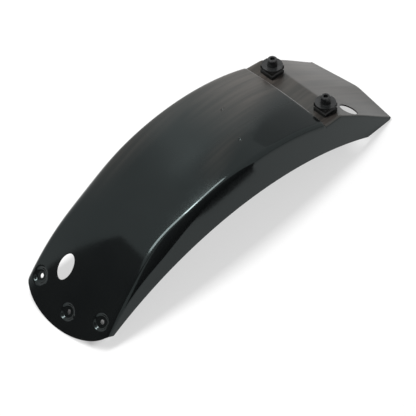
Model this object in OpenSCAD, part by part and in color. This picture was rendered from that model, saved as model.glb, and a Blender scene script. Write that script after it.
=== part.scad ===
// Rear fender of a motorcycle, pressed from one sheet: a bowed crown that follows
// the wheel, two flared skirts, a stepped-down floor with a sloping front plate,
// three screw dimples at the rounded tail and two wiring holes.
// Two screw stacks with square rubber mounts stand on the stepped-down floor.
// Sizes are laid out in the wheel's own frame: the axle is the origin, X points to
// the front, Y to the left and Z up. rest_pose() then sets the part on its two ends.
// All sizes are in millimetres and degrees.

/* [Sheet] */
// thickness of the pressed sheet
wall = 1.8; // [1.2:0.2:2.4]

/* [Crown] */
// radius of the crown's outside, measured from the wheel axle
crown_r = 341; // [337:1:345]
// radius of the crown's sideways bow
bow_r = 700; // [500:20:900]
// outside radius of the bend from the crown into the skirt
shoulder_r = 8; // [6:0.5:10]

/* [Skirts] */
// width across the two creases of the front plate
crease_w = 150; // [144:1:156]
// distance from the axle at which the skirts are crease_w apart
crease_r = 343; // [340:1:346]
// angle by which each skirt spreads outwards on its way down
skirt_flare = 8; // [5:0.5:11]
// radius of the lower edge, seen from the side
hem_r = 454; // [446:1:462]
// how far the centre of the lower edge's radius lies in front of the axle
hem_centre_x = 11; // [6:0.5:16]
// how far that centre lies below the axle
hem_centre_drop = 170.5; // [164:0.5:177]

/* [Step and front plate] */
// where the step drops from the crown to the floor, in front of the axle
step_x = 109; // [105:1:113]
// height of the stepped-down floor over the axle
floor_z = 309; // [306:0.5:311]
// half width of the floor's flat middle
floor_half_w = 66; // [63:0.5:68]
// how far sideways the floor takes to rise to its two rims
rim_run = 6; // [4:0.5:7]
// height of these rims over the axle
rim_z = 313.5; // [312:0.5:316]
// angle at which the front plate falls away from the floor
plate_slope = 31.2; // [29:0.2:33]
// distance of the front plate's plane from the axle
plate_dist = 340.1; // [338:0.1:343]
// reach of the plate's front edge along the slope, on the centre line
plate_reach = 80.7; // [76:0.1:86]
// radius of the plate's bulging front edge, seen square to the plate
front_edge_r = 286; // [240:2:340]
// radius of the downward bow that bends the plate's two front corners
front_bow_r = 470; // [400:10:600]
// angle by which this bow dips under the plate's slope
front_dip = 10; // [8:0.5:14]
// height over the axle at which the skirts are cut off under the plate
front_cut_z = 248; // [245:0.5:248.5]

/* [Tail] */
// angle from straight up to where the rounded tail begins
tail_start = 52; // [50:0.5:53.5]
// reach of the rounded tail past that angle
tail_reach = 49; // [44:0.5:54]
// half of the width of the tail's oval outline
tail_half_w = 81; // [78:0.5:86]

/* [Screw dimples] */
// angle from straight up to the middle dimple
dimple_mid_angle = 55.7; // [55:0.1:56.2]
// distance of the middle dimple to the right of the centre line
dimple_mid_y = 6.5; // [0:0.5:10]
// angle from straight up to the two outer dimples
dimple_side_angle = 53; // [52.4:0.1:53.6]
// distance of each outer dimple from the centre line
dimple_side_y = 58; // [50:0.5:59]
// radius of a dimple at its rim
dimple_r = 11.5; // [9.5:0.5:12]
// radius of a dimple's flat bottom
dimple_floor_r = 8; // [6.5:0.5:8.5]
// depth of a dimple
dimple_depth = 3.6; // [2.4:0.2:4]
// radius of the screw hole in a dimple
dimple_hole_r = 3.25; // [2.5:0.05:4.2]

/* [Wiring holes] */
// width of the tail's wiring hole
tail_oval_w = 24; // [18:0.5:28]
// length of the tail's wiring hole
tail_oval_l = 36.4; // [30:0.2:38]
// angle from straight up to the tail's wiring hole
tail_oval_angle = 47.8; // [46:0.1:48]
// distance of the tail's wiring hole from the centre line
tail_oval_y = 28.5; // [24:0.5:30]
// radius of the plate's round wiring hole
plate_hole_r = 12.8; // [9:0.2:13.4]
// distance of the plate's wiring hole from the centre line
plate_hole_y = 59; // [54:0.5:59.5]
// place of the plate's wiring hole along the slope
plate_hole_u = -7.5; // [-12:0.5:0]

/* [Locating marks] */
// radius of the small round marks on the crown
mark_r = 2.5; // [1.5:0.1:3]
// depth of these marks
mark_depth = 0.9; // [0.5:0.1:1]
// angle to the left mark
mark_left_angle = -2.4; // [-4:0.1:-1]
// distance of the left mark from the centre line
mark_left_y = 18; // [14:0.5:24]
// angle to the right mark
mark_right_angle = 1.3; // [0:0.1:3]
// distance of the right mark from the centre line
mark_right_y = 38; // [32:0.5:42]

/* [Rubber mounts] */
// place of both screw stacks, in front of the axle
stack_x = 135.4; // [134:0.1:136.5]
// distance of each screw stack from the centre line
stack_y = 50; // [44:0.5:56]
// side of the square rubber mount
mount_w = 22; // [19:0.5:22]
// height of the mount over the floor
mount_h = 13; // [10:0.5:16]
// depth of the notch that runs round the mount
mount_notch = 1.4; // [0.8:0.1:2]
// radius of the neck with which the mount sits in the floor's hole
neck_r = 8; // [6.5:0.25:8.5]
// radius of the lip under the floor
lip_r = 10; // [9.5:0.1:10]
// height of the lip
lip_h = 4; // [3:0.5:6]

/* [Screws] */
// radius of the screw's shank
screw_r = 4; // [3:0.5:4]
// length of the screw under its head
screw_l = 45; // [42:1:50]
// radius of the screw's round head
head_r = 6.5; // [5.5:0.1:7]
// height of the head
head_h = 8; // [6:0.5:9]
// width across the flats of the key's socket
socket_w = 6; // [4:0.5:7]
// depth of that socket
socket_depth = 4; // [3:0.5:5]
// gap all round the shank in the mount and washers
screw_gap = 0.3; // [0.1:0.05:0.4]
// radius of the plate washer
washer_r = 14; // [12:0.5:15]
// thickness of the plate washer
washer_t = 1.6; // [1.2:0.1:2.4]
// thickness of the spring washer
spring_t = 2.2; // [1.6:0.1:3]
// radius of the spring washer
spring_r = 6.9; // [5.9:0.1:7.5]
// width of the slit in the spring washer
spring_slit = 1.4; // [1:0.1:2]
// width across the flats of the nut
nut_w = 13; // [11:0.5:14]
// height of the nut with its flange
nut_h = 8; // [6:0.5:10]
// radius of the nut's flange
nut_flange_r = 8.95; // [8.5:0.05:9.5]
// thickness of the flange at its rim
nut_flange_t = 1.2; // [0.8:0.1:1.6]

/* [Hidden] */
$fn = 144;

// how many straight pieces draw the bow, each shoulder bend and a tail's half oval
bow_steps = 14;
shoulder_steps = 7;
oval_steps = 44;

// half width that is wider than any part of the fender
clear_w = 120;
// depth, measured from the axle, at which the inside of the sweep ends
sweep_floor_r = 262;
// distance from the axle that is past every part of the fender
sweep_top_r = 380;
// angles between which the crown is swept, behind and in front
sweep_back = 68;
sweep_front = 48;
// angle in front at which the crown's own sweep ends, inside the step
crown_sweep_end = 24;
// how far the shoulder's last straight piece is carried on, in its own lengths
bend_overrun = 3;
// how far the solid under the floor reaches back into the one under the crown
block_overlap = 20;

// how far a dimple's cone is carried on past the crown
dimple_over = 4;

// slant of the slit in the spring washer
slit_slant = 30;

// small bevels
screw_bevel = 0.8;
head_bevel = 0.9;
nut_bevel = 0.7;

// colours of the finishes
paint_colour = [0.03, 0.035, 0.035];
rubber_colour = [0.02, 0.02, 0.02];
black_steel_colour = [0.05, 0.05, 0.05];
zinc_colour = [0.5, 0.51, 0.52];

// direction square to the front plate
plate_nx = sin(plate_slope);
plate_nz = cos(plate_slope);

// bend from the crown into the skirt: its centre keeps shoulder_r from both
bow_centre_r = crown_r - bow_r;
flare_run = tan(skirt_flare);
line_k = crease_w / 2 + crease_r * flare_run - shoulder_r / cos(skirt_flare);
bend_a = 1 + flare_run * flare_run;
bend_b = bow_centre_r + line_k * flare_run;
bend_q = bow_r - shoulder_r;
bend_c = bow_centre_r * bow_centre_r + line_k * line_k - bend_q * bend_q;
bend_r = (bend_b + sqrt(bend_b * bend_b - bend_a * bend_c)) / bend_a;
bend_y = line_k - bend_r * flare_run;
bow_half_angle = atan2(bend_y, bend_r - bow_centre_r);

// heights in a screw stack
washer_z = floor_z + mount_h;
spring_z = washer_z + washer_t;
head_z = spring_z + spring_t;
lip_z = floor_z - wall - lip_h;

// rest: the inner corners of the tail's and the plate's ends stand on one level
tail_w_in = sqrt(pow(crown_r - wall, 2) - pow(tail_reach, 2));
tail_w_out = sqrt(pow(crown_r, 2) - pow(tail_reach, 2));
tail_in_x = -tail_w_in * sin(tail_start) - tail_reach * cos(tail_start);
tail_in_z = tail_w_in * cos(tail_start) - tail_reach * sin(tail_start);
tail_out_x = -tail_w_out * sin(tail_start) - tail_reach * cos(tail_start);
tail_out_z = tail_w_out * cos(tail_start) - tail_reach * sin(tail_start);
front_in_x = plate_reach * plate_nz + (plate_dist - wall) * plate_nx;
front_in_z = (plate_dist - wall) * plate_nz - plate_reach * plate_nx;
front_out_x = plate_reach * plate_nz + plate_dist * plate_nx;
front_out_z = plate_dist * plate_nz - plate_reach * plate_nx;
rest_tilt = atan2(front_in_z - tail_in_z, front_in_x - tail_in_x);
rest_back_x = tail_out_x * cos(rest_tilt) + tail_out_z * sin(rest_tilt);
rest_front_x = front_out_x * cos(rest_tilt) + front_out_z * sin(rest_tilt);
rest_mid_x = (rest_back_x + rest_front_x) / 2;
rest_drop = tail_in_z * cos(rest_tilt) - tail_in_x * sin(rest_tilt);

// sets the part down on its two ends, centred over the origin
module rest_pose() {
    translate([-rest_mid_x, 0, -rest_drop])
        rotate([0, rest_tilt, 0])
            children();
}

// places something on the crown's outside: angle to the tail, distance to the left
module on_crown(angle, y) {
    rotate([0, -angle, 0])
        translate([0, 0, bow_centre_r])
            rotate([-asin(y / bow_r), 0, 0])
                translate([0, 0, bow_r])
                    children();
}

// places something on the front plate: distance along the slope, distance to the left
module on_plate(u, y) {
    rotate([0, plate_slope, 0])
        translate([u, y, plate_dist])
            children();
}

// places a screw stack's piece: side is 1 for left and -1 for right
module on_stack(side, z) {
    translate([stack_x, side * stack_y, z])
        children();
}

// half width of the skin at distance r from the axle, t under the outside
function skirt_y(r, t) = crease_w / 2 + (crease_r - r) * flare_run - t / cos(skirt_flare);

// point on the crown's bow, t under the outside
function bow_point(a, t) = [bow_centre_r + (bow_r - t) * cos(a), (bow_r - t) * sin(a)];

// point on the shoulder's bend, t under the outside
function bend_point(a, t) = [bend_r + (shoulder_r - t) * cos(a), bend_y + (shoulder_r - t) * sin(a)];

// angle of step i on the shoulder's bend
function bend_angle(i) = bow_half_angle + (90 - skirt_flare - bow_half_angle) * i / shoulder_steps;

// cross-section under the crown and its shoulder bends, t under their outside; past the
// bends it runs on sideways, and the skirts' own section trims it
module roof_section(t) {
    bend = [for (i = [0 : shoulder_steps]) bend_point(bend_angle(i), t)];
    bow = [for (i = [0 : bow_steps]) bow_point(bow_half_angle * (2 * i / bow_steps - 1), t)];
    last = bend[shoulder_steps];
    past = last + bend_overrun * (last - bend[shoulder_steps - 1]);
    left = concat([for (i = [1 : shoulder_steps - 1]) bend[i]], [past, [past[0], clear_w]]);
    count = len(left);
    right = [for (i = [count - 1 : -1 : 0]) [left[i][0], -left[i][1]]];
    polygon(concat([[0, -clear_w]], right, bow, left, [[0, clear_w]]));
}

// cross-section between the two skirts, t under their outside
module skirt_section(t) {
    polygon([
        [sweep_floor_r, skirt_y(sweep_floor_r, t)],
        [sweep_floor_r, -skirt_y(sweep_floor_r, t)],
        [sweep_top_r, -skirt_y(sweep_top_r, t)],
        [sweep_top_r, skirt_y(sweep_top_r, t)]
    ]);
}

// sweeps a cross-section round the axle, from angle a in front to angle b behind
module sweep(a, b) {
    rotate([90, 0, 0])
        rotate([0, 0, 90 - a])
            rotate_extrude(angle = a + b)
                children();
}

// cross-section under the floor and its two risen rims, t under their outside
module floor_section(t) {
    shift = t * tan(atan2(rim_z - floor_z, rim_run) / 2);
    flat = floor_half_w + shift;
    polygon([
        [-clear_w, 0],
        [-clear_w, rim_z - t],
        [-flat - rim_run, rim_z - t],
        [-flat, floor_z - t],
        [flat, floor_z - t],
        [flat + rim_run, rim_z - t],
        [clear_w, rim_z - t],
        [clear_w, 0]
    ]);
}

// everything under the floor and the plate, t under their outside
module front_block(t) {
    intersection() {
        translate([step_x - t - block_overlap, 0, 0])
            rotate([90, 0, 90])
                linear_extrude(3 * plate_reach)
                    floor_section(t);
        on_plate(0, 0)
            translate([-3 * plate_reach, -clear_w, -t - 3 * clear_w])
                cube([6 * plate_reach, 2 * clear_w, 3 * clear_w]);
        on_plate(plate_reach, 0)
            rotate([0, 90 + front_dip, 0])
                translate([front_bow_r, 0, 0])
                    cylinder(h = 4 * clear_w, r = front_bow_r - t, center = true, $fn = 360);
    }
}

// everything under the crown, up to the step
module crown_block(t) {
    intersection() {
        sweep(crown_sweep_end, sweep_back)
            roof_section(t);
        translate([step_x - t - 2 * sweep_top_r, -clear_w, -sweep_top_r])
            cube([2 * sweep_top_r, 2 * clear_w, 2 * sweep_top_r]);
    }
}

// solid that fills the fender up to t under its outside
module filled(t) {
    intersection() {
        sweep(sweep_front, sweep_back)
            skirt_section(t);
        union() {
            crown_block(t);
            front_block(t);
        }
    }
}

// one screw dimple, grown by t all round
module dimple(t) {
    slant = (dimple_r - dimple_floor_r) / dimple_depth;
    translate([0, 0, -dimple_depth - t])
        cylinder(
            h = dimple_depth + t + dimple_over,
            r1 = dimple_floor_r + t * sqrt(1 + slant * slant) - t * slant,
            r2 = dimple_r + t * sqrt(1 + slant * slant) + dimple_over * slant
        );
}

// the three dimples' places
module at_dimples() {
    on_crown(dimple_mid_angle, -dimple_mid_y)
        children();
    on_crown(dimple_side_angle, dimple_side_y)
        children();
    on_crown(dimple_side_angle, -dimple_side_y)
        children();
}

// what the side view's lower edge takes away
module hem_cut() {
    translate([hem_centre_x, 0, -hem_centre_drop])
        rotate([90, 0, 0])
            cylinder(h = 2 * clear_w, r = hem_r, center = true, $fn = 360);
    cut_end = (plate_dist - 2 * wall - plate_nz * front_cut_z) / plate_nx;
    translate([hem_centre_x, -clear_w, 0])
        cube([cut_end - hem_centre_x, 2 * clear_w, front_cut_z]);
}

// what lies outside the bulging front edge
module front_edge_cut() {
    rotate([0, plate_slope, 0])
        translate([0, 0, plate_dist - plate_reach])
            linear_extrude(2 * plate_reach)
                difference() {
                    translate([plate_reach / 2, -clear_w])
                        square([2 * plate_reach, 2 * clear_w]);
                    translate([plate_reach - front_edge_r, 0])
                        circle(r = front_edge_r, $fn = 360);
                }
}

// what lies outside the rounded tail
module tail_cut() {
    rim = [for (i = [0 : oval_steps])
        [-tail_reach * sin(180 * i / oval_steps), tail_half_w * cos(180 * i / oval_steps)]];
    far = -3 * tail_reach;
    frame = [[0, -clear_w], [far, -clear_w], [far, clear_w], [0, clear_w]];
    rotate([0, -tail_start, 0])
        translate([0, 0, sweep_floor_r - tail_half_w])
            linear_extrude(sweep_top_r)
                polygon(concat(rim, frame));
}

// the tail's oval wiring hole, its length along X
module tail_oval() {
    rim = [for (i = [1 : oval_steps])
        [tail_oval_l * cos(360 * i / oval_steps), tail_oval_w * sin(360 * i / oval_steps)] / 2];
    linear_extrude(6 * wall, center = true)
        polygon(rim);
}

// small round mark in the crown's outside
module crown_mark() {
    ball_r = (mark_r * mark_r + mark_depth * mark_depth) / (2 * mark_depth);
    translate([0, 0, ball_r - mark_depth])
        sphere(r = ball_r, $fn = 36);
}

module fender_shell() {
    color(paint_colour)
        rest_pose()
            difference() {
                filled(0);
                difference() {
                    filled(wall);
                    at_dimples()
                        dimple(wall);
                }
                at_dimples() {
                    dimple(0);
                    cylinder(h = 4 * dimple_depth, r = dimple_hole_r, center = true);
                }
                hem_cut();
                front_edge_cut();
                tail_cut();
                on_crown(tail_oval_angle, tail_oval_y)
                    tail_oval();
                on_plate(plate_hole_u, -plate_hole_y)
                    cylinder(h = 6 * wall, r = plate_hole_r, center = true);
                for (side = [-1, 1])
                    on_stack(side, floor_z - 2 * wall)
                        cylinder(h = 3 * wall, r = neck_r);
                on_crown(mark_left_angle, mark_left_y)
                    crown_mark();
                on_crown(mark_right_angle, -mark_right_y)
                    crown_mark();
            }
}

// outline of the mount's notched side, seen square to it
module mount_outline() {
    half = mount_w / 2;
    polygon([
        [-half, 0],
        [half, 0],
        [half, mount_h / 2 - mount_notch],
        [half - mount_notch, mount_h / 2],
        [half, mount_h / 2 + mount_notch],
        [half, mount_h],
        [-half, mount_h],
        [-half, mount_h / 2 + mount_notch],
        [mount_notch - half, mount_h / 2],
        [-half, mount_h / 2 - mount_notch]
    ]);
}

// square mount with its neck and lip in one piece of rubber
module rubber_mount(side) {
    color(rubber_colour)
        rest_pose()
            on_stack(side, floor_z)
                difference() {
                    union() {
                        intersection() {
                            rotate([90, 0, 0])
                                linear_extrude(mount_w, center = true)
                                    mount_outline();
                            rotate([0, 0, 90])
                                rotate([90, 0, 0])
                                    linear_extrude(mount_w, center = true)
                                        mount_outline();
                        }
                        translate([0, 0, -wall - lip_h / 2])
                            cylinder(h = wall + lip_h, r = neck_r);
                        translate([0, 0, -wall - lip_h])
                            cylinder(h = lip_h, r = lip_r);
                    }
                    translate([0, 0, -wall - 2 * lip_h])
                        cylinder(h = mount_h + wall + 3 * lip_h, r = screw_r + screw_gap);
                }
}

module plate_washer(side) {
    color(black_steel_colour)
        rest_pose()
            on_stack(side, washer_z)
                difference() {
                    cylinder(h = washer_t, r = washer_r);
                    translate([0, 0, -washer_t])
                        cylinder(h = 3 * washer_t, r = screw_r + screw_gap);
                }
}

// split ring; the slit is slanted as on a spring washer
module spring_washer(side) {
    color(black_steel_colour)
        rest_pose()
            on_stack(side, spring_z)
                difference() {
                    cylinder(h = spring_t, r = spring_r);
                    translate([0, 0, -spring_t])
                        cylinder(h = 3 * spring_t, r = screw_r + screw_gap / 2);
                    translate([spring_r, 0, spring_t / 2])
                        rotate([slit_slant, 0, 0])
                            cube([spring_r + screw_r, spring_slit, 4 * spring_t], center = true);
                }
}

// round-headed screw with a six-sided socket for the key
module cap_screw(side) {
    color(black_steel_colour)
        rest_pose()
            on_stack(side, head_z)
                difference() {
                    union() {
                        cylinder(h = head_h - head_bevel, r = head_r);
                        translate([0, 0, head_h - head_bevel])
                            cylinder(h = head_bevel, r1 = head_r, r2 = head_r - head_bevel);
                        translate([0, 0, screw_bevel - screw_l])
                            cylinder(h = screw_l, r = screw_r);
                        translate([0, 0, -screw_l])
                            cylinder(h = screw_bevel, r1 = screw_r - screw_bevel, r2 = screw_r);
                    }
                    translate([0, 0, head_h - socket_depth])
                        cylinder(h = 2 * socket_depth, r = socket_w / sqrt(3), $fn = 6);
                }
}

// six-sided nut whose flange bears on the mount's lip
module flange_nut(side) {
    slope_h = nut_flange_r - nut_w / 2;
    corner_r = nut_w / sqrt(3);
    color(zinc_colour)
        rest_pose()
            on_stack(side, lip_z - nut_h)
                difference() {
                    union() {
                        intersection() {
                            cylinder(h = nut_h, r = corner_r, $fn = 6);
                            union() {
                                cylinder(h = nut_bevel, r1 = corner_r - nut_bevel, r2 = corner_r);
                                translate([0, 0, nut_bevel])
                                    cylinder(h = nut_h - nut_bevel, r = corner_r);
                            }
                        }
                        translate([0, 0, nut_h - nut_flange_t])
                            cylinder(h = nut_flange_t, r = nut_flange_r);
                        translate([0, 0, nut_h - nut_flange_t - slope_h / 2])
                            cylinder(h = slope_h / 2, r1 = nut_w / 2, r2 = nut_flange_r);
                    }
                    translate([0, 0, -nut_h])
                        cylinder(h = 3 * nut_h, r = screw_r);
                }
}

fender_shell();
rubber_mount(1);  // rubber_mount_left
rubber_mount(-1);  // rubber_mount_right
plate_washer(1);  // plate_washer_left
plate_washer(-1);  // plate_washer_right
spring_washer(1);  // spring_washer_left
spring_washer(-1);  // spring_washer_right
cap_screw(1);  // cap_screw_left
cap_screw(-1);  // cap_screw_right
flange_nut(1);  // flange_nut_left
flange_nut(-1);  // flange_nut_right
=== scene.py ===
# %% [markdown]
# # Motorcycle rear fender
# The real part is one pressed steel sheet in gloss black paint. Its crown follows the
# wheel, its two skirts flare out, and in front a stepped-down floor runs into a sloping
# plate. Two screw stacks with square rubber mounts stand on that floor. The packed
# model gives every size; this notebook adds a smooth skin, finishes, light and a camera.

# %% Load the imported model
import bpy
import bmesh
import numpy as np
from math import radians, sin, cos, tan, asin, sqrt, pi
from mathutils import Matrix, Vector


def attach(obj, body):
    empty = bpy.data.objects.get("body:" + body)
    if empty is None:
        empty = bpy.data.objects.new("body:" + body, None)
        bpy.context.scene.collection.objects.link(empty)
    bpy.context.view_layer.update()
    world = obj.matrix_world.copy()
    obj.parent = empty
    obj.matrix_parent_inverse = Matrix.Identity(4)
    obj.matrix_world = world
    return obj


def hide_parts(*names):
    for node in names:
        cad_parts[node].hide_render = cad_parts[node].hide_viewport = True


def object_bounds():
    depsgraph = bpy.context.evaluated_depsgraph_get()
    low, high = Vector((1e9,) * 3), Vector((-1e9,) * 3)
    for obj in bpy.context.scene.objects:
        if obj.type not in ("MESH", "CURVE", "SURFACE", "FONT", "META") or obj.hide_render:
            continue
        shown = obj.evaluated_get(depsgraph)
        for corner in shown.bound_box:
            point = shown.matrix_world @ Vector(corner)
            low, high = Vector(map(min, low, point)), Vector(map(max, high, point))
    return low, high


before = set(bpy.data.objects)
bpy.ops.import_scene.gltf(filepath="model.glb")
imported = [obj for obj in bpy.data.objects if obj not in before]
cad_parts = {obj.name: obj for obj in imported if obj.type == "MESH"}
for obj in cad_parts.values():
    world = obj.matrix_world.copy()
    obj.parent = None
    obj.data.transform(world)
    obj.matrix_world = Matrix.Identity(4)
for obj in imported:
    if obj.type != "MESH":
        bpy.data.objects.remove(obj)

cad_low, cad_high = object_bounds()
print("CAD box in mm:", [round(1000 * (h - l), 1) for l, h in zip(cad_low, cad_high)])

# %% [markdown]
# ## From the wheel's frame to the resting pose
# The fender was laid out round its wheel axle, where every section is a simple curve.
# Working there in millimetres keeps the formulas short, and one turn and one shift set
# the result down on its two ends. Modelling straight in the resting pose would need the
# tilt in every formula.

# %% Wheel frame and rest pose
REST_TILT = radians(8.395086794)
REST_MID = 5.364000927
REST_DROP = 209.248336884


def to_rest(points):
    """Turns wheel-frame millimetres into metres of the resting pose."""
    p = np.asarray(points, float)
    x = p[..., 0] * cos(REST_TILT) + p[..., 2] * sin(REST_TILT) - REST_MID
    z = p[..., 2] * cos(REST_TILT) - p[..., 0] * sin(REST_TILT) - REST_DROP
    return np.stack([x, p[..., 1], z], -1) * 0.001


def turn_to_rest(vector):
    """Turns a wheel-frame direction into the resting pose."""
    x, y, z = vector
    return Vector((x * cos(REST_TILT) + z * sin(REST_TILT), y,
                   z * cos(REST_TILT) - x * sin(REST_TILT)))


print("wheel axle in the resting pose, m:", to_rest((0, 0, 0)).round(3))

# %% [markdown]
# ## The sheet's section
# Across the wheel the sheet is a shallow bow, a tight shoulder bend and a straight skirt
# that flares by eight degrees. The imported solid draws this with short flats, which a
# gloss finish would show as stripes, so here the same curve is sampled finely. A
# subdivision surface would also smooth it, but would round off the pressed details.
# The bend's radius may differ from station to station, so its centre is worked out anew.

# %% Section lines across the crown
WALL = 1.8
CROWN_R, BOW_R, SHOULDER_R = 341.0, 700.0, 8.0
FLARE = radians(8)
CREASE_HALF, CREASE_R = 75.0, 343.0
bow_centre = CROWN_R - BOW_R


def shoulder_bend(radius):
    """Centre of a bend that touches bow and skirt, and the bow's half angle."""
    line_k = CREASE_HALF + CREASE_R * tan(FLARE) - radius / cos(FLARE)
    a = 1 + tan(FLARE) ** 2
    b = bow_centre + line_k * tan(FLARE)
    c = bow_centre ** 2 + line_k ** 2 - (BOW_R - radius) ** 2
    r = (b + sqrt(b ** 2 - a * c)) / a
    y = line_k - r * tan(FLARE)
    return r, y, np.arctan2(y, r - bow_centre)


bow_end_y = BOW_R * sin(shoulder_bend(SHOULDER_R)[2])
FINE_Y, FLAT_Y = 18.0, 46.0
TOP_Y = np.concatenate([np.linspace(0, FINE_Y, 16), np.linspace(FINE_Y, FLAT_Y, 10)[1:],
                        np.linspace(FLAT_Y, bow_end_y, 21)[1:]])
BEND_STEPS, SKIRT_STEPS = 8, 14
HALF_LINES = len(TOP_Y) + BEND_STEPS + SKIRT_STEPS
print("lines across half the sheet:", HALF_LINES, "bow ends at y", round(float(bow_end_y), 2))


def skirt_y(r):
    return CREASE_HALF + (CREASE_R - r) * tan(FLARE)


# %% [markdown]
# ## Hem and crown stations
# Seen from the side the lower edge is one big arc. Each station is a cut through the
# sheet: it runs down from the crown and stops at that arc, so the hem is the mesh's own
# border and needs no trimming. The stations lie square to the crown, and turn upright
# as they near the step. Some way behind the top the shoulder bend is softer, and the
# rows of the bow are squeezed a little to make room for it.

# %% Crown stations
HEM_R, HEM_X, HEM_Z = 454.0, 11.0, -170.5
SOFT_EXTRA, SOFT_AT, SOFT_SPREAD = 9.0, radians(-32), radians(9)


def hem_distance(x, z, fx, fz):
    """Way from a crown point down along a cut to the hem arc."""
    qx, qz = x - HEM_X, z - HEM_Z
    dot = qx * fx + qz * fz
    return -dot - sqrt(dot * dot - (qx * qx + qz * qz - HEM_R ** 2))


def crown_half(theta, lean):
    """One half section at angle theta, in a cut that leans by its own angle."""
    px, pz = CROWN_R * sin(theta), CROWN_R * cos(theta)
    reach = hem_distance(px, pz, -sin(lean), -cos(lean))
    hem_r = np.hypot(px - reach * sin(lean), pz - reach * cos(lean))
    softer = SOFT_EXTRA * np.exp(-((theta - SOFT_AT) / SOFT_SPREAD) ** 2)
    radius = SHOULDER_R + softer
    bend_r, bend_y, bow_half = shoulder_bend(radius)
    squeeze = (BOW_R * sin(bow_half) - FLAT_Y) / (bow_end_y - FLAT_Y)
    top_y = np.where(TOP_Y > FLAT_Y, FLAT_Y + (TOP_Y - FLAT_Y) * squeeze, TOP_Y)
    top_r = bow_centre + np.sqrt(BOW_R ** 2 - top_y ** 2)
    turn = bow_half + (pi / 2 - FLARE - bow_half) * np.arange(1, BEND_STEPS + 1) / BEND_STEPS
    r = np.concatenate([top_r, bend_r + radius * np.cos(turn)])
    y = np.concatenate([top_y, bend_y + radius * np.sin(turn)])
    way = np.arange(1, SKIRT_STEPS + 1) / SKIRT_STEPS
    low = r[-1] + (hem_r - r[-1]) * way
    r = np.concatenate([r, low])
    y = np.concatenate([y, skirt_y(low)])
    a = lean + np.arcsin(CROWN_R * sin(theta - lean) / r)
    return np.stack([r * np.sin(a), y, r * np.cos(a)], -1)


print("depth of the sides at the top, mm:", round(hem_distance(0, CROWN_R, 0, -1), 1))

# %% [markdown]
# ## Rounded tail
# The tail ends in half an oval. Where a station leaves that oval its remaining points
# are gathered on the border, and doubled points are merged later. The border then is a
# clean curve, which a boolean cut through a coarse mesh would not give.

# %% Tail outline
TAIL_START, TAIL_REACH, TAIL_HALF_W = radians(52), 49.0, 81.0


def tail_value(p):
    """Below zero inside the tail's half oval, above zero outside it."""
    back = p[0] * cos(TAIL_START) + p[2] * sin(TAIL_START)
    return -1.0 if back > 0 else (back / TAIL_REACH) ** 2 + (p[1] / TAIL_HALF_W) ** 2 - 1


def gather_on_tail(half):
    """Keeps the points of a half section that lie inside the oval."""
    out = [k for k, p in enumerate(half) if tail_value(p) > 0]
    if not out:
        return half
    first = out[0]
    if first == 0:
        half[:] = half[0]
        return half
    inside, outside = half[first - 1].copy(), half[first].copy()
    for _ in range(30):
        middle = (inside + outside) / 2
        if tail_value(middle) > 0:
            outside = middle
        else:
            inside = middle
    half[first:] = inside
    return half


print("tail oval: reach", TAIL_REACH, "mm, width", 2 * TAIL_HALF_W, "mm")

# %% [markdown]
# ## Screw dimples
# Three shallow dishes take the tail's screws. Each has a flat bottom and a sloping wall
# with soft edges, as a press tool leaves them. They are pressed in by moving points of
# the skin, so that the paint's reflections run over them without a seam.

# %% Dimples pressed into the crown
DIMPLES = [(radians(55.7), -6.5), (radians(53), 58.0), (radians(53), -58.0)]
DIMPLE_R, DIMPLE_FLOOR_R, DIMPLE_DEPTH = 11.5, 8.0, 3.6
DIMPLE_SOFT, DIMPLE_NEAR = 0.6, 12


def on_crown(angle, y):
    """Point and outward direction on the crown, angle counted to the tail."""
    side = asin(y / BOW_R)
    r = bow_centre + BOW_R * cos(side)
    point = np.array([-r * sin(angle), y, r * cos(angle)])
    out = np.array([-cos(side) * sin(angle), sin(side), cos(side) * cos(angle)])
    return point, out


def press_dimples(points):
    """Moves the points near each screw place down into a flat dish."""
    for angle, y in DIMPLES:
        centre, out = on_crown(angle, y)
        away = points - centre
        height = away @ out
        ring = np.linalg.norm(away - height[..., None] * out, axis=-1)
        t = np.clip((DIMPLE_R + DIMPLE_SOFT - ring)
                    / (DIMPLE_R - DIMPLE_FLOOR_R + DIMPLE_SOFT), 0, 1)
        s = t * t * (3 - 2 * t) * (np.abs(height) < DIMPLE_NEAR)
        points = points + (s * (-DIMPLE_DEPTH - height))[..., None] * out
    return points


print("dimples:", len(DIMPLES), "each", DIMPLE_DEPTH, "mm deep")

# %% [markdown]
# ## Rows of tail and crown
# A gloss skin shows uneven rows in its reflections, so the stations are even along the
# crown. Round the tail they follow the oval's own angle, which sets them closest at its
# tip. One even spacing for both would leave the tip with too few rows.

# %% Stations of tail and crown
STEP_X, BEND_IN = 109.0, 2.2
CROWN_START = radians(50.6)
tail_sweep = np.linspace(90, 0, 58) * pi / 180
tail_angles = [-(TAIL_START + asin(TAIL_REACH * sin(a) / CROWN_R)) for a in tail_sweep]
near_tail = np.linspace(-TAIL_START, -CROWN_START, 6)[1:]
last_angle = asin((STEP_X - BEND_IN) / CROWN_R)
crown_angles = np.linspace(-CROWN_START, last_angle, 108)[1:]
rows = []
for theta in list(tail_angles) + list(near_tail) + list(crown_angles):
    lean = theta if theta < 0 else theta * (1 - theta / last_angle)
    rows.append(gather_on_tail(crown_half(theta, lean)))
rows[-1] = crown_half(last_angle, 0.0)
crown_rows = np.array(rows)
print("crown stations:", len(crown_rows))

# %% [markdown]
# ## Floor and front plate
# In front of the step lies a pan: a flat floor with two slightly raised rims, then a
# plate that slopes down and droops at its two corners. Heights are mixed with a soft
# minimum, which gives every crease the small radius that a pressed sheet has. Hard
# creases would look folded from card.

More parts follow.
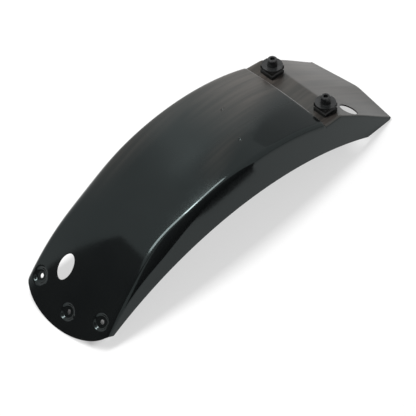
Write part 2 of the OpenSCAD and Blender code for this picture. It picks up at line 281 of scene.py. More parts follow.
# %% Heights of the pan and the plate
FLOOR_Z, RIM_Z, RIM_FOOT_Y, RIM_RUN = 309.0, 313.5, 57.0, 18.0
PLATE_SLOPE, PLATE_DIST, PLATE_REACH = radians(31.2), 340.1, 80.7
CORNER_DROOP, DROOP_SPAN, DROOP_SOFT, DROOP_FROM_U = 4.6, 71.0, 4.0, -10.0
CORNER_BACK, BACK_SPAN, BACK_SOFT = 10.4, 70.0, 5.0
FOLD_SOFT = 0.7


def soft_min(a, b, k):
    return -k * np.logaddexp(-a / k, -b / k)


def pan_height(x, y):
    t = np.clip((np.abs(y) - RIM_FOOT_Y) / RIM_RUN, 0, 1)
    pan = FLOOR_Z + (RIM_Z - FLOOR_Z) * t * t * (3 - 2 * t)
    plate = (PLATE_DIST - x * sin(PLATE_SLOPE)) / cos(PLATE_SLOPE)
    return soft_min(pan, plate, FOLD_SOFT)


def plate_point(u, y):
    """Point of the plate at distance u down its slope."""
    side = np.sqrt(y * y + DROOP_SOFT ** 2) - DROOP_SOFT
    t = np.clip((u - DROOP_FROM_U) / (PLATE_REACH - DROOP_FROM_U), 0, 1)
    h = -CORNER_DROOP * side / DROOP_SPAN * t * t * (3 - 2 * t)
    x = u * cos(PLATE_SLOPE) + (PLATE_DIST + h) * sin(PLATE_SLOPE)
    z = (PLATE_DIST + h) * cos(PLATE_SLOPE) - u * sin(PLATE_SLOPE)
    return x, z


def plate_edge(y):
    """The front edge: two nearly straight halves that meet in a soft point."""
    side = np.sqrt(y * y + BACK_SOFT ** 2) - BACK_SOFT
    return PLATE_REACH - CORNER_BACK * side / BACK_SPAN


PLATE_FROM_U = -28.0
plate_from_x = float(plate_point(np.float64(PLATE_FROM_U), np.float64(0))[0])


def front_point(place, y):
    """Pan rows use place = x; plate rows use place = 1000 + share of the slope."""
    if place < 1000:
        return place, pan_height(place, y)
    return plate_point(PLATE_FROM_U + (place - 1000) * (plate_edge(y) - PLATE_FROM_U), y)


print("plate rows start at x", round(plate_from_x, 1), "mm")

# %% [markdown]
# ## Skirts under the plate
# The skirts run on under the plate and narrow to a point at its front corners. The same
# number of lines crosses every row, so crown, step and front join without a seam.

# %% Front half sections
tip_x, tip_z = (float(v) for v in front_point(1001.0, CREASE_HALF))
CREASE_ROUND, CREASE_IN, CUT_Z = 2.6, 2.2, 248.0
EDGE_LINES = [70.7, 71.7, 72.6]


def lower_border(x):
    """Height at which the skirt ends, from the hem arc, the cut and the tip."""
    hem = HEM_Z + sqrt(max(HEM_R ** 2 - (x - HEM_X) ** 2, 0))
    tip = tip_z - (tip_x - x) * cos(PLATE_SLOPE) / sin(PLATE_SLOPE)
    return max(hem, CUT_Z, tip)


def front_half(place):
    """One half section of the pan or the plate, with its skirt."""
    y = np.concatenate([TOP_Y, EDGE_LINES])
    spots = [front_point(place, v) for v in y]
    points = [[float(s[0]), v, float(s[1])] for s, v in zip(spots, y)]
    cy = CREASE_HALF
    for _ in range(6):
        cx, cz = (float(v) for v in front_point(place, cy))
        cy = skirt_y(np.hypot(cx, cz))
    room = max(cz - lower_border(cx), 0.0)
    drop = min(CREASE_ROUND, room / 2)
    sx, sz = (float(v) for v in front_point(place, cy - CREASE_IN))
    start = np.array([sx, cy - CREASE_IN, sz])
    corner = np.array([cx, cy, cz])
    end = np.array([cx, skirt_y(np.hypot(cx, cz - drop)), cz - drop])
    for t in np.linspace(0, 1, 5):
        points.append(list((1 - t) ** 2 * start + 2 * t * (1 - t) * corner + t * t * end))
    bottom = lower_border(cx)
    for t in np.arange(1, SKIRT_STEPS + 1) / SKIRT_STEPS:
        z = end[2] + (bottom - end[2]) * t
        points.append([cx, skirt_y(np.hypot(cx, z)), z])
    return np.array(points)


pan_places = list(np.linspace(STEP_X + BEND_IN, plate_from_x, 28))[:-1]
plate_places = list(1000 + np.linspace(0, 1, 38))
front_rows = np.array([front_half(p) for p in pan_places + plate_places])
print("front stations:", len(front_rows), "tip at", round(tip_x, 1), round(tip_z, 1))

# %% [markdown]
# ## The step
# Between crown and floor the sheet drops by fourteen millimetres in the middle and twelve
# near the rims. The step's upper edge catches the light as a thin bright line, so both
# bends are drawn with real radii. A bevel could round them afterwards, but rows laid here
# keep the crown's own lines.

# %% Rows of the step
def bezier(a, b, c, t):
    return (1 - t) ** 2 * a + 2 * t * (1 - t) * b + t * t * c


def step_rows(above, below):
    """Rows between the crown's last section and the floor's first one."""
    made = []
    r = np.hypot(above[:, 0], above[:, 2])
    top_z = np.sqrt(r * r - STEP_X ** 2)
    drop = top_z - below[:, 2]
    q = np.sign(drop) * np.minimum(np.abs(drop) / 2, BEND_IN)
    skirt = np.arange(len(above)) >= HALF_LINES - SKIRT_STEPS
    plan = [(0, 0.3), (0, 0.62), (0, 1.0), (1, 0.0), (1, 0.38), (1, 0.7)]
    for k, (part, t) in enumerate(plan):
        if part == 0:
            x = bezier(above[:, 0], STEP_X, STEP_X, t)
            z = bezier(above[:, 2], top_z, top_z - q, t)
        else:
            x = bezier(STEP_X, STEP_X, below[:, 0], t)
            z = bezier(below[:, 2] + q, below[:, 2], below[:, 2], t)
        share = (k + 1) / (len(plan) + 1)
        y = above[:, 1] + (below[:, 1] - above[:, 1]) * share
        x = np.where(skirt, above[:, 0] + (below[:, 0] - above[:, 0]) * share, x)
        z = np.where(skirt, above[:, 2] + (below[:, 2] - above[:, 2]) * share, z)
        y = np.where(skirt, skirt_y(np.hypot(x, z)), y)
        made.append(np.stack([x, y, z], -1))
    return np.array(made)


half_rows = np.concatenate([crown_rows, step_rows(crown_rows[-1], front_rows[0]), front_rows])
mirrored = half_rows[:, :0:-1] * np.array([1, -1, 1])
sheet = press_dimples(np.concatenate([mirrored, half_rows], axis=1))
step_drop = sqrt(CROWN_R ** 2 - STEP_X ** 2) - FLOOR_Z
print("sheet grid:", sheet.shape, "drop in the middle, mm:", round(step_drop, 1))

# %% [markdown]
# ## From grid to sheet steel
# The grid becomes the outer skin. A second skin lies one sheet thickness below it, and
# the border between the two gets a rounded lip. Blender's Solidify modifier could make
# the thickness as well, but its lip is flat, and a painted edge catches light.


# %% Build the pressed sheet
LIP = ((0.18, 0.00028), (0.5, 0.0004), (0.82, 0.00028))


def build_sheet(name, grid):
    """Skin, inner skin and rounded lip; LIP holds depth shares and bulges in metres."""
    mesh = bmesh.new()
    verts = [[mesh.verts.new(to_rest(p)) for p in row] for row in grid]
    for a, b in zip(verts[:-1], verts[1:]):
        for k in range(len(a) - 1):
            mesh.faces.new((a[k], b[k], b[k + 1], a[k + 1]))
    bmesh.ops.remove_doubles(mesh, verts=mesh.verts, dist=4e-5)
    bmesh.ops.dissolve_degenerate(mesh, edges=mesh.edges, dist=1e-6)
    mesh.normal_update()
    middle = min(mesh.verts, key=lambda v: (v.co - Vector((0, 0, cad_high[2]))).length)
    if middle.normal.z < 0:
        bmesh.ops.reverse_faces(mesh, faces=mesh.faces)
        mesh.normal_update()
    outer = list(mesh.verts)
    faces = list(mesh.faces)
    out_way = {}
    for edge in mesh.edges:
        if len(edge.link_faces) == 1:
            loop = next(l for l in edge.link_faces[0].loops if l.edge == edge)
            a, b = loop.vert, loop.link_loop_next.vert
            way = (b.co - a.co).normalized().cross(a.normal)
            for v in (a, b):
                out_way[v] = out_way.get(v, Vector()) + way
    rim_edges = [(l.vert, l.link_loop_next.vert) for f in faces for l in f.loops
                 if len(l.edge.link_faces) == 1]
    wall = WALL * 0.001
    inner = {v: mesh.verts.new(v.co - v.normal * wall) for v in outer}
    ring = [{v: v for v in out_way}]
    for depth, bulge in LIP:
        ring.append({v: mesh.verts.new(v.co - v.normal * wall * depth + way.normalized() * bulge)
                     for v, way in out_way.items()})
    ring.append({v: inner[v] for v in out_way})
    for f in faces:
        mesh.faces.new([inner[v] for v in reversed(f.verts)])
    for a, b in rim_edges:
        for upper, lower in zip(ring[:-1], ring[1:]):
            mesh.faces.new((upper[b], upper[a], lower[a], lower[b]))
    data = bpy.data.meshes.new(name)
    mesh.to_mesh(data)
    mesh.free()
    data.shade_smooth()
    made = bpy.data.objects.new(name, data)
    bpy.context.collection.objects.link(made)
    return made


fender = build_sheet("pressed_fender", sheet)
print("sheet:", len(fender.data.vertices), "points,", len(fender.data.polygons), "faces")

# %% [markdown]
# ## Punched holes
# Screw holes, the tail's oval hole, the plate's round hole and the two mount holes are
# punched through. Each cutter is a closed prism set square to the sheet, and one
# boolean takes them all. The two small locating marks are shallow dents, left by the
# lowest part of a ball.


# %% Cutters
def prism(bm, centre, out, along, outline, low, high):
    """Adds a closed prism with a given outline, from low to high along out."""
    out, along = np.array(out, float), np.array(along, float)
    along = along - out * (along @ out)
    along /= np.linalg.norm(along)
    across = np.cross(out, along)
    rings = []
    for h in (low, high):
        ring = [centre + out * h + along * a + across * b for a, b in outline]
        rings.append([bm.verts.new(to_rest(p)) for p in ring])
    n = len(outline)
    for k in range(n):
        bm.faces.new((rings[0][k], rings[0][(k + 1) % n], rings[1][(k + 1) % n], rings[1][k]))
    bm.faces.new(list(reversed(rings[0])))
    bm.faces.new(rings[1])


def oval(length, width, count):
    return [(length / 2 * cos(2 * pi * k / count), width / 2 * sin(2 * pi * k / count))
            for k in range(count)]


SCREW_HOLE_R = 3.25
OVAL_ANGLE, OVAL_Y, OVAL_LENGTH, OVAL_WIDTH = radians(47.8), 28.5, 36.4, 24.0
WIRE_U, WIRE_Y, WIRE_D = -7.5, -59.0, 25.6
NECK_X, NECK_Y, NECK_D = 135.4, 50.0, 16.0
MARKS, MARK_R, MARK_DEPTH = ((radians(-2.4), 18.0), (radians(1.3), -38.0)), 2.5, 0.9

cutters = bmesh.new()
for angle, y in DIMPLES:
    centre, out = on_crown(angle, y)
    prism(cutters, centre, out, (1, 0, 0), oval(2 * SCREW_HOLE_R, 2 * SCREW_HOLE_R, 40), -9, 3)
centre, out = on_crown(OVAL_ANGLE, OVAL_Y)
prism(cutters, centre, out, (1, 0, 0), oval(OVAL_LENGTH, OVAL_WIDTH, 96), -6, 5)
plate_out = np.array([sin(PLATE_SLOPE), 0, cos(PLATE_SLOPE)])
plate_x, plate_z = plate_point(np.float64(WIRE_U), np.float64(0))
wire_hole = np.array([plate_x, WIRE_Y, plate_z])
prism(cutters, wire_hole, plate_out, (1, 0, 0), oval(WIRE_D, WIRE_D, 80), -6, 5)
for y in (-NECK_Y, NECK_Y):
    neck = np.array([NECK_X, y, FLOOR_Z])
    prism(cutters, neck, (0, 0, 1), (1, 0, 0), oval(NECK_D, NECK_D, 64), -6, 5)
ball_r = (MARK_R ** 2 + MARK_DEPTH ** 2) / (2 * MARK_DEPTH)
for angle, y in MARKS:
    centre, out = on_crown(angle, y)
    ball = Matrix.Translation(Vector(to_rest(centre + out * (ball_r - MARK_DEPTH))))
    bmesh.ops.create_uvsphere(cutters, u_segments=32, v_segments=24,
                              radius=ball_r / 1000, matrix=ball)
cutter_mesh = bpy.data.meshes.new("fender_cutters")
bmesh.ops.recalc_face_normals(cutters, faces=cutters.faces)
cutters.to_mesh(cutter_mesh)
cutters.free()
cutter = bpy.data.objects.new("fender_cutters", cutter_mesh)
bpy.context.collection.objects.link(cutter)
print("cutters:", len(cutter_mesh.polygons), "faces")


# %% Punch
def punch(target, tool):
    """One boolean cut; the slower exact solver takes over if the quick one fails."""
    cut = target.modifiers.new("punch", "BOOLEAN")
    cut.operation = "DIFFERENCE"
    cut.object = tool
    cut.solver = "MANIFOLD"
    graph = bpy.context.evaluated_depsgraph_get()
    done = bpy.data.meshes.new_from_object(target.evaluated_get(graph))
    if len(done.polygons) < 1000:
        cut.solver = "EXACT"
        graph = bpy.context.evaluated_depsgraph_get()
        done = bpy.data.meshes.new_from_object(target.evaluated_get(graph))
    print("punched with", cut.solver, "faces", len(done.polygons))
    target.modifiers.clear()
    target.data = done
    bpy.data.objects.remove(tool)


punch(fender, cutter)
for edge in fender.data.edges:
    edge.use_edge_sharp = False
fender.data.set_sharp_from_angle(angle=radians(38))
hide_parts("fender_shell")
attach(fender, "root")

# %% [markdown]
# ## Finishes
# Shared effects are node groups: one gives a slow variation for roughness, one a fine
# grain for bumps. Each material sets them to its own scale. Painting image textures
# would be the other way, but procedural nodes need no files and no unwrapping.


# %% Shared node groups
def new_group(name, inputs, outputs):
    group = bpy.data.node_groups.new(name, "ShaderNodeTree")
    for label, kind, value in inputs:
        socket = group.interface.new_socket(label, in_out="INPUT", socket_type=kind)
        socket.default_value = value
    for label, kind in outputs:
        group.interface.new_socket(label, in_out="OUTPUT", socket_type=kind)
    return group, group.nodes.new("NodeGroupInput"), group.nodes.new("NodeGroupOutput")


variation, source, sink = new_group(
    "slow_variation",
    [("Scale", "NodeSocketFloat", 20.0), ("Low", "NodeSocketFloat", 0.1),
     ("High", "NodeSocketFloat", 0.2)],
    [("Value", "NodeSocketFloat")])
where = variation.nodes.new("ShaderNodeTexCoord")
cloud = variation.nodes.new("ShaderNodeTexNoise")
spread = variation.nodes.new("ShaderNodeMapRange")
cloud.inputs["Detail"].default_value = 3
spread.inputs["From Min"].default_value = 0.35
spread.inputs["From Max"].default_value = 0.65
variation.links.new(where.outputs["Object"], cloud.inputs["Vector"])
variation.links.new(source.outputs["Scale"], cloud.inputs["Scale"])
variation.links.new(cloud.outputs["Fac"], spread.inputs["Value"])
variation.links.new(source.outputs["Low"], spread.inputs["To Min"])
variation.links.new(source.outputs["High"], spread.inputs["To Max"])
variation.links.new(spread.outputs["Result"], sink.inputs["Value"])

grain, source, sink = new_group(
    "fine_grain",
    [("Scale", "NodeSocketFloat", 400.0), ("Mix", "NodeSocketFloat", 0.5)],
    [("Height", "NodeSocketFloat")])
where = grain.nodes.new("ShaderNodeTexCoord")
fine = grain.nodes.new("ShaderNodeTexNoise")
cells = grain.nodes.new("ShaderNodeTexVoronoi")
blend = grain.nodes.new("ShaderNodeMix")
fine.inputs["Detail"].default_value = 4
for node in (fine, cells):
    grain.links.new(where.outputs["Object"], node.inputs["Vector"])
    grain.links.new(source.outputs["Scale"], node.inputs["Scale"])
grain.links.new(source.outputs["Mix"], blend.inputs["Factor"])
grain.links.new(fine.outputs["Fac"], blend.inputs["A"])
grain.links.new(cells.outputs["Distance"], blend.inputs["B"])
grain.links.new(blend.outputs["Result"], sink.inputs["Height"])
print("node groups:", [g.name for g in bpy.data.node_groups])


# %% One maker for all finishes
def finish_material(name, dark, light, tone_scale, rough, rough_scale, grain_scale,
                    grain_mix, grain_depth, metallic=0.0, level=0.5):
    """Two near tones, a range of roughness and a fine bump, each at its own scale."""
    material = bpy.data.materials.new(name)
    material.use_nodes = True
    nodes, links = material.node_tree.nodes, material.node_tree.links
    shader = nodes["Principled BSDF"]
    shader.inputs["Metallic"].default_value = metallic
    shader.inputs["Specular IOR Level"].default_value = level
    tone = nodes.new("ShaderNodeGroup")
    tone.node_tree = variation
    tone.inputs["Scale"].default_value = tone_scale
    tone.inputs["Low"].default_value, tone.inputs["High"].default_value = 0.0, 1.0
    colours = nodes.new("ShaderNodeMix")
    colours.data_type = "RGBA"
    colours.inputs["A"].default_value = (*dark, 1)
    colours.inputs["B"].default_value = (*light, 1)
    links.new(tone.outputs["Value"], colours.inputs["Factor"])
    links.new(colours.outputs["Result"], shader.inputs["Base Color"])
    gloss = nodes.new("ShaderNodeGroup")
    gloss.node_tree = variation
    gloss.inputs["Scale"].default_value = rough_scale
    gloss.inputs["Low"].default_value, gloss.inputs["High"].default_value = rough
    links.new(gloss.outputs["Value"], shader.inputs["Roughness"])
    height = nodes.new("ShaderNodeGroup")
    height.node_tree = grain
    height.inputs["Scale"].default_value = grain_scale
    height.inputs["Mix"].default_value = grain_mix
    bump = nodes.new("ShaderNodeBump")
    bump.inputs["Distance"].default_value = grain_depth
    bump.inputs["Strength"].default_value = 1.0
    links.new(height.outputs["Height"], bump.inputs["Height"])
    links.new(bump.outputs["Normal"], shader.inputs["Normal"])
    print("finish:", name)
    return material


# %% [markdown]
# ## Paint, rubber and steel
# Gloss black paint is almost all reflection: its own colour is near black, and a faint
# orange peel keeps the reflections from being mirror flat. The rubber is dull with a
# moulded grain, the screws have a black oxide skin, and the nuts are zinc plated.

# %% Materials of the pieces
paint = finish_material("gloss_black_paint", (0.0050, 0.0058, 0.0060), (0.0068, 0.0076, 0.0077), 9,
                        (0.07, 0.11), 14, 260, 0.0, 0.000012, level=0.27)
paint.node_tree.nodes["Principled BSDF"].inputs["Specular Tint"].default_value = (0.82, 1.0, 1.0, 1)
rubber = finish_material("moulded_rubber", (0.005, 0.005, 0.005), (0.011, 0.011, 0.011), 60,
                         (0.3, 0.42), 90, 1500, 0.5, 0.0001, level=0.3)
oxide = finish_material("black_oxide_steel", (0.010, 0.011, 0.011), (0.030, 0.031, 0.032), 70,
                        (0.2, 0.32), 120, 2200, 0.4, 0.00004, metallic=0.3, level=0.3)
zinc = finish_material("zinc_plated_steel", (0.42, 0.43, 0.44), (0.55, 0.56, 0.57), 80,
                       (0.28, 0.4), 140, 2400, 0.4, 0.00003, metallic=1.0)


def dress(obj, material):
    obj.data.materials.clear()
    obj.data.materials.append(material)


# %% [markdown]
# ## Haze and painted sheen on the front of the paint
# The crown's front, the pan and the plate get a duller roughness and a painted sheen: a
# warmer, lighter colour that stands for reflected light, with streaks along the fender.
# A mask by place, broken up by stretched noise, drives colour and roughness, and a second
# one paints a thin highlight line along the step.
# Both fade out on the skirts. Their places were set one by one, and the colour they add is
# painted light. A painted image could hold the mask, but would need unwrapping, and its
# pixels would show in a close view.

# %% Small helpers for node maths
def feed(group, value, socket):
    """Links a socket, or sets a plain number on it."""
    if isinstance(value, bpy.types.NodeSocket):
        group.links.new(value, socket)
    else:
        socket.default_value = value


def maths(group, operation, a, b=0.0):
    node = group.nodes.new("ShaderNodeMath")
    node.operation = operation
    feed(group, a, node.inputs[0])
    feed(group, b, node.inputs[1])
    return node.outputs[0]


def ease(group, value, start, end):
    """Rises softly from 0 at start to 1 at end."""
    node = group.nodes.new("ShaderNodeMapRange")
    node.interpolation_type = "SMOOTHSTEP"
    feed(group, value, node.inputs["Value"])
    feed(group, start, node.inputs["From Min"])
    feed(group, end, node.inputs["From Max"])
    return node.outputs["Result"]


# %% Haze and painted sheen mask and its use
# The crown's slanted band, ridge and rim are places of painted reflection.
SLANT, SLANT_SHIFT, RIDGE_Y, RIDGE_SHARE, RIM_SHARE = 0.4, 0.0506, 0.012, 0.25, 0.4
STEP_LINE_X, STEP_LINE_HALF = 0.1484, 0.0016
PAN_FROM_X, PAN_FULL_X, PAN_TILT, PAN_SHARE = 0.149, 0.1506, 4.0, 0.85
STREAK_TURN, STREAK_LONG, STREAK_FINE = radians(4), 1 / 7, 1 / 150
# Light grey of the painted highlight along the step's upper edge.
STEP_HIGHLIGHT_COLOUR = (0.16, 0.155, 0.15)

haze_and_sheen, source, sink = new_group("front_haze_and_sheen", [("Streaks", "NodeSocketFloat", 0.4)],
                               [("Mask", "NodeSocketFloat"), ("Dull", "NodeSocketFloat"),
                                ("StepHighlight", "NodeSocketFloat")])
where = haze_and_sheen.nodes.new("ShaderNodeTexCoord")
parts = haze_and_sheen.nodes.new("ShaderNodeSeparateXYZ")
facing = haze_and_sheen.nodes.new("ShaderNodeSeparateXYZ")
haze_and_sheen.links.new(where.outputs["Object"], parts.inputs[0])
haze_and_sheen.links.new(where.outputs["Normal"], facing.inputs[0])
x, y = parts.outputs["X"], parts.outputs["Y"]
slanted = maths(haze_and_sheen, "SUBTRACT", y, maths(haze_and_sheen, "MULTIPLY", x, SLANT))
slanted = maths(haze_and_sheen, "ADD", slanted, SLANT_SHIFT)
# Crown part: painted reflection in a slanted band, along a ridge and at the far rim.
band = maths(haze_and_sheen, "MULTIPLY", ease(haze_and_sheen, slanted, -0.018, 0.03), ease(haze_and_sheen, x, -0.01, 0.14))
ridge = maths(haze_and_sheen, "ABSOLUTE", maths(haze_and_sheen, "SUBTRACT", slanted, RIDGE_Y))
ridge = maths(haze_and_sheen, "MULTIPLY", ease(haze_and_sheen, ridge, 0.026, 0.0), ease(haze_and_sheen, x, -0.06, 0.0))
ridge = maths(haze_and_sheen, "MULTIPLY", ridge, RIDGE_SHARE)
rim = maths(haze_and_sheen, "MULTIPLY", ease(haze_and_sheen, y, 0.035, 0.075), ease(haze_and_sheen, x, -0.17, -0.07))
rim = maths(haze_and_sheen, "MULTIPLY", rim, RIM_SHARE)
crown_part = maths(haze_and_sheen, "MAXIMUM", maths(haze_and_sheen, "MAXIMUM", band, ridge), rim)
# Front part: painted reflection over the pan and the plate, changing across the width.
front_part = maths(haze_and_sheen, "MULTIPLY", ease(haze_and_sheen, x, PAN_FROM_X, PAN_FULL_X),
                   maths(haze_and_sheen, "ADD", maths(haze_and_sheen, "MULTIPLY", y, PAN_TILT), PAN_SHARE))
# Stretched noise breaks the painted sheen into streaks along the fender.
stretch = haze_and_sheen.nodes.new("ShaderNodeMapping")
stretch.vector_type = "TEXTURE"
stretch.inputs["Rotation"].default_value = (0, 0, STREAK_TURN)
stretch.inputs["Scale"].default_value = (STREAK_LONG, STREAK_FINE, STREAK_LONG)
streak = haze_and_sheen.nodes.new("ShaderNodeTexNoise")
streak.inputs["Scale"].default_value = 1.0
streak.inputs["Detail"].default_value = 5
haze_and_sheen.links.new(where.outputs["Object"], stretch.inputs["Vector"])
haze_and_sheen.links.new(stretch.outputs[0], streak.inputs["Vector"])
streak_break = ease(haze_and_sheen, streak.outputs["Fac"], 0.3, 0.7)
streak_break = maths(haze_and_sheen, "MULTIPLY", streak_break, source.outputs["Streaks"])
streak_break = maths(haze_and_sheen, "SUBTRACT", 1.0, streak_break)
# The painted sheen lies only on faces turned upwards and fades out on the skirts.
on_top = ease(haze_and_sheen, facing.outputs["Z"], 0.3, 0.7)
mask = maths(haze_and_sheen, "MULTIPLY", maths(haze_and_sheen, "MAXIMUM", crown_part, front_part), streak_break)
haze_and_sheen.links.new(maths(haze_and_sheen, "MULTIPLY", mask, on_top), sink.inputs["Mask"])
dull = maths(haze_and_sheen, "MULTIPLY", ease(haze_and_sheen, y, -0.05, -0.005), ease(haze_and_sheen, x, -0.11, 0.0))
dull = maths(haze_and_sheen, "MAXIMUM", dull, ease(haze_and_sheen, x, PAN_FROM_X, PAN_FULL_X))
haze_and_sheen.links.new(maths(haze_and_sheen, "MULTIPLY", dull, on_top), sink.inputs["Dull"])
# A thin painted highlight along the step's upper edge, on faces turned upwards.
step_highlight = maths(haze_and_sheen, "ABSOLUTE", maths(haze_and_sheen, "SUBTRACT", x, STEP_LINE_X))
step_highlight = maths(haze_and_sheen, "MULTIPLY", ease(haze_and_sheen, step_highlight, STEP_LINE_HALF, 0.0),
             ease(haze_and_sheen, y, -0.085, -0.03))
step_highlight = maths(haze_and_sheen, "MULTIPLY", step_highlight, ease(haze_and_sheen, facing.outputs["Z"], 0.1, 0.5))
haze_and_sheen.links.new(step_highlight, sink.inputs["StepHighlight"])
print("haze group:", len(haze_and_sheen.nodes), "nodes")


# %% Haze and painted sheen on the paint
def add_haze_and_sheen(material, streaks, colour, rough):
    """Mixes the painted sheen's colour, the painted highlight line along the step and the duller
    roughness into a paint.
    """
    nodes, links = material.node_tree.nodes, material.node_tree.links
    shader = nodes["Principled BSDF"]
    mask = nodes.new("ShaderNodeGroup")
    mask.node_tree = haze_and_sheen
    mask.inputs["Streaks"].default_value = streaks
    # Painted sheen: a warmer, lighter colour over the paint's own tones.
    sheen_mixed = nodes.new("ShaderNodeMix")
    sheen_mixed.data_type = "RGBA"
    sheen_mixed.inputs["B"].default_value = (*colour, 1)
    links.new(mask.outputs["Mask"], sheen_mixed.inputs["Factor"])
    links.new(shader.inputs["Base Color"].links[0].from_socket, sheen_mixed.inputs["A"])
    # Painted highlight line along the step.
    step_highlighted = nodes.new("ShaderNodeMix")
    step_highlighted.data_type = "RGBA"
    step_highlighted.inputs["B"].default_value = (*STEP_HIGHLIGHT_COLOUR, 1)
    links.new(mask.outputs["StepHighlight"], step_highlighted.inputs["Factor"])
    links.new(sheen_mixed.outputs["Result"], step_highlighted.inputs["A"])
    links.new(step_highlighted.outputs["Result"], shader.inputs["Base Color"])
    duller = nodes.new("ShaderNodeMix")
    duller.inputs["B"].default_value = rough
    links.new(mask.outputs["Dull"], duller.inputs["Factor"])
    links.new(shader.inputs["Roughness"].links[0].from_socket, duller.inputs["A"])
    links.new(duller.outputs["Result"], shader.inputs["Roughness"])


# Warm colour of the painted sheen, and the duller roughness of the haze.
add_haze_and_sheen(paint, 0.5, (0.064, 0.055, 0.049), 0.34)

# %% Finishes on the pieces
dress(fender, paint)
for side in ("left", "right"):
    finishes = {"rubber_mount": rubber, "plate_washer": oxide, "spring_washer": oxide,
                "cap_screw": oxide, "flange_nut": zinc}
    for piece, material in finishes.items():
        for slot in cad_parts[piece + "_" + side].material_slots:
            slot.material = material
print("dressed", 1 + 2 * len(finishes), "pieces")

# %% [markdown]
# ## Camera
# The photograph was taken from far away with a long lens, from above the right rear
# side. Its place was solved in the wheel's frame, so it is turned into the resting pose
# like everything else.

# %% Place the camera
IMAGE, FOCUS_PX, DISTANCE = 416, 4200.0, 5502.0
to_camera = np.array([-0.493, -0.523, 0.695])
to_right = np.array([0.728, -0.686, 0.0])
to_up = np.array([0.476, 0.506, 0.719])
aim = np.array([-25.7, 0.0, 202.0])
lens = bpy.data.cameras.new("photo_camera")
lens.sensor_width = 36
lens.lens = 36 * FOCUS_PX / IMAGE
lens.clip_end = 50
camera = bpy.data.objects.new("photo_camera", lens)
axes = Matrix([turn_to_rest(v) for v in (to_right, to_up, to_camera)]).transposed()
place = Vector(to_rest(aim + to_camera * DISTANCE / np.linalg.norm(to_camera)))
camera.matrix_world = Matrix.Translation(place) @ axes.to_4x4()
bpy.context.collection.objects.link(camera)
bpy.context.scene.camera = camera
print("camera at", [round(v, 2) for v in place])

# %% [markdown]
# ## Floor, backdrop and light
# The fender lies on a pale floor under plain soft light. The camera and mirror-like
# rays see a white surround, while the light that falls on the part stays at a plain
# level. A large soft lamp in front to the left brightens the plate and the front of the
# crown. A slim one overhead draws the line along the near shoulder, and a small one beside
# it gives that line its brightest spot. Under the tail the floor's glow fades in a patch,
# a painted shade that makes the screw holes there look darker.

# %% Floor
floor_mesh = bpy.data.meshes.new("studio_floor")
floor_size = 6.0
floor_mesh.from_pydata([(-floor_size, -floor_size, 0), (floor_size, -floor_size, 0),
                        (floor_size, floor_size, 0), (-floor_size, floor_size, 0)],
                       [], [(0, 1, 2, 3)])
floor = bpy.data.objects.new("studio_floor", floor_mesh)
bpy.context.collection.objects.link(floor)
floor_paint = bpy.data.materials.new("pale_floor")
floor_paint.use_nodes = True
floor_shader = floor_paint.node_tree.nodes["Principled BSDF"]
floor_shader.inputs["Base Color"].default_value = (0.86, 0.86, 0.86, 1)
floor_shader.inputs["Roughness"].default_value = 0.8
floor_nodes, floor_links = floor_paint.node_tree.nodes, floor_paint.node_tree.links
floor_glow = floor_nodes.new("ShaderNodeEmission")
floor_glow.inputs["Color"].default_value = (1, 1, 1, 1)
floor_mix = floor_nodes.new("ShaderNodeMixShader")
floor_rays = floor_nodes.new("ShaderNodeLightPath")
floor_share = floor_nodes.new("ShaderNodeMath")
floor_share.operation = "MULTIPLY"
FLOOR_GLOW = 0.6
floor_share.inputs[1].default_value = FLOOR_GLOW
floor_links.new(floor_rays.outputs["Is Camera Ray"], floor_share.inputs[0])
# Under the tail the floor's glow is taken away in a soft patch, which paints a darker contact shade
# there.
TAIL_SHADE_X, TAIL_SHADE_Y = -0.241, 0.02
SHADE_EDGE_X, SHADE_EDGE_Y = (0.010, 0.027), (0.055, 0.085)
floor_tree = floor_paint.node_tree
floor_where = floor_nodes.new("ShaderNodeTexCoord")
floor_parts = floor_nodes.new("ShaderNodeSeparateXYZ")
floor_links.new(floor_where.outputs["Object"], floor_parts.inputs[0])
from_shade_x = maths(floor_tree, "SUBTRACT", floor_parts.outputs["X"], TAIL_SHADE_X)
from_shade_y = maths(floor_tree, "SUBTRACT", floor_parts.outputs["Y"], TAIL_SHADE_Y)
clear = maths(floor_tree, "MAXIMUM",
              ease(floor_tree, maths(floor_tree, "ABSOLUTE", from_shade_x), *SHADE_EDGE_X),
              ease(floor_tree, maths(floor_tree, "ABSOLUTE", from_shade_y), *SHADE_EDGE_Y))
floor_glow_share = maths(floor_tree, "MULTIPLY", floor_share.outputs[0], clear)
floor_links.new(floor_glow_share, floor_mix.inputs["Fac"])
floor_links.new(floor_shader.outputs[0], floor_mix.inputs[1])
floor_links.new(floor_glow.outputs[0], floor_mix.inputs[2])
floor_links.new(floor_mix.outputs[0], floor_nodes["Material Output"].inputs["Surface"])
floor_mesh.materials.append(floor_paint)
print("floor:", 2 * floor_size, "m wide")

# %% Surround
SURROUND_LIGHT = 0.35
world = bpy.data.worlds.new("studio_world")
bpy.context.scene.world = world
world.use_nodes = True
nodes, links = world.node_tree.nodes, world.node_tree.links
nodes.clear()
rays = nodes.new("ShaderNodeLightPath")
seen = nodes.new("ShaderNodeMath")
seen.operation = "MAXIMUM"
seen_all = nodes.new("ShaderNodeMath")
seen_all.operation = "MAXIMUM"
lit = nodes.new("ShaderNodeBackground")
white = nodes.new("ShaderNodeBackground")
mix = nodes.new("ShaderNodeMixShader")
out = nodes.new("ShaderNodeOutputWorld")
lit.inputs["Color"].default_value = (1, 1, 1, 1)
lit.inputs["Strength"].default_value = SURROUND_LIGHT
white.inputs["Color"].default_value = (1, 1, 1, 1)
white.inputs["Strength"].default_value = 1.0
links.new(rays.outputs["Is Camera Ray"], seen.inputs[0])
links.new(rays.outputs["Is Glossy Ray"], seen.inputs[1])
links.new(seen.outputs[0], seen_all.inputs[0])
links.new(rays.outputs["Is Transmission Ray"], seen_all.inputs[1])
links.new(seen_all.outputs[0], mix.inputs["Fac"])
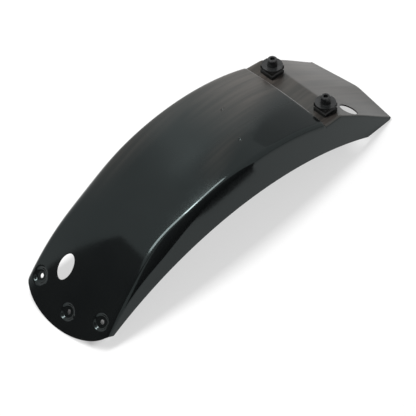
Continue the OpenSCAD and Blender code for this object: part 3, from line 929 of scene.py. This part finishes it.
links.new(lit.outputs[0], mix.inputs[1])
links.new(white.outputs[0], mix.inputs[2])
links.new(mix.outputs[0], out.inputs["Surface"])
print("surround lights the part at", SURROUND_LIGHT, "and is seen as white")


# %% Lamps
def studio_lamp(name, centre, length_way, facing, size, power):
    """A lamp set by its centre in metres, its long direction and the way it shines."""
    data = bpy.data.lights.new(name, "AREA")
    data.shape = "RECTANGLE"
    data.size, data.size_y = size
    data.energy = power
    lamp = bpy.data.objects.new(name, data)
    z_axis = -Vector(facing).normalized()
    x_axis = Vector(length_way)
    x_axis = (x_axis - z_axis * x_axis.dot(z_axis)).normalized()
    turn = Matrix([x_axis, z_axis.cross(x_axis), z_axis]).transposed()
    lamp.matrix_world = Matrix.Translation(Vector(centre)) @ turn.to_4x4()
    bpy.context.collection.objects.link(lamp)
    return lamp


studio_lamp("overhead_strip", (-0.22, 0.37, 2.0), (1, 0, 0), (0, 0, -1), (1.65, 0.5), 36)
studio_lamp("left_softbox", (1.7, 1.6, 1.15), (1, 0, 0), (0, -1, 0), (1.9, 2.0), 8)
studio_lamp("shoulder_spark", (-0.10, 0.36, 1.95), (1, 0, 0), (0, 0, -1), (0.3, 0.3), 9)
print("lamps:", len(bpy.data.lights))

# %% [markdown]
# ## Boards for the reflections
# Gloss black paint shows its surroundings. A photographer sets boards beside it to keep
# its shoulders deep black. Three dark ones and a lighter card in front are seen by
# reflections alone, and neither shade the part nor stand in any view. From the side, the
# edge of one shows as a line in the near skirt.


# %% Boards beside the fender
def reflected_board(name, corners, level):
    """A card of plain brightness that only reflections see."""
    mesh = bpy.data.meshes.new(name)
    mesh.from_pydata(corners, [], [(0, 1, 2, 3)])
    cloth = bpy.data.materials.new(name + "_cloth")
    cloth.use_nodes = True
    cloth_shader = cloth.node_tree.nodes["Principled BSDF"]
    cloth_shader.inputs["Base Color"].default_value = (0.02, 0.02, 0.022, 1)
    cloth_shader.inputs["Roughness"].default_value = 0.9
    cloth_shader.inputs["Emission Color"].default_value = (1, 1, 1, 1)
    cloth_shader.inputs["Emission Strength"].default_value = level
    mesh.materials.append(cloth)
    board = bpy.data.objects.new(name, mesh)
    board.visible_camera = False
    board.visible_diffuse = False
    board.visible_shadow = False
    bpy.context.collection.objects.link(board)


reflected_board("right_side_board", [(-0.215, -0.21, 0.0), (0.10, -0.21, 0.0),
                                     (0.02, -0.3, 1.6), (-0.6, -0.3, 1.6)], 0.0)
reflected_board("right_tail_board", [(-1.6, -0.21, 0.0), (-0.29, -0.21, 0.0),
                                     (-0.7, -0.3, 1.6), (-1.6, -0.3, 1.6)], 0.0)
reflected_board("back_left_board", [(-1.4, -0.5, 0.0), (-1.27, 0.98, 0.0),
                                    (-1.14, 1.17, 1.95), (-1.4, -0.5, 1.9)], 0.0)
reflected_board("front_card", [(1.55, 0.2, 0.0), (1.37, 0.84, 0.0),
                               (1.37, 0.84, 1.5), (1.55, 0.2, 1.5)], 0.62)

# %% [markdown]
# ## Colour handling
# The colours are shown without a film curve, so that the white surround stays white.

# %% Colour handling
bpy.context.scene.view_settings.view_transform = "Standard"
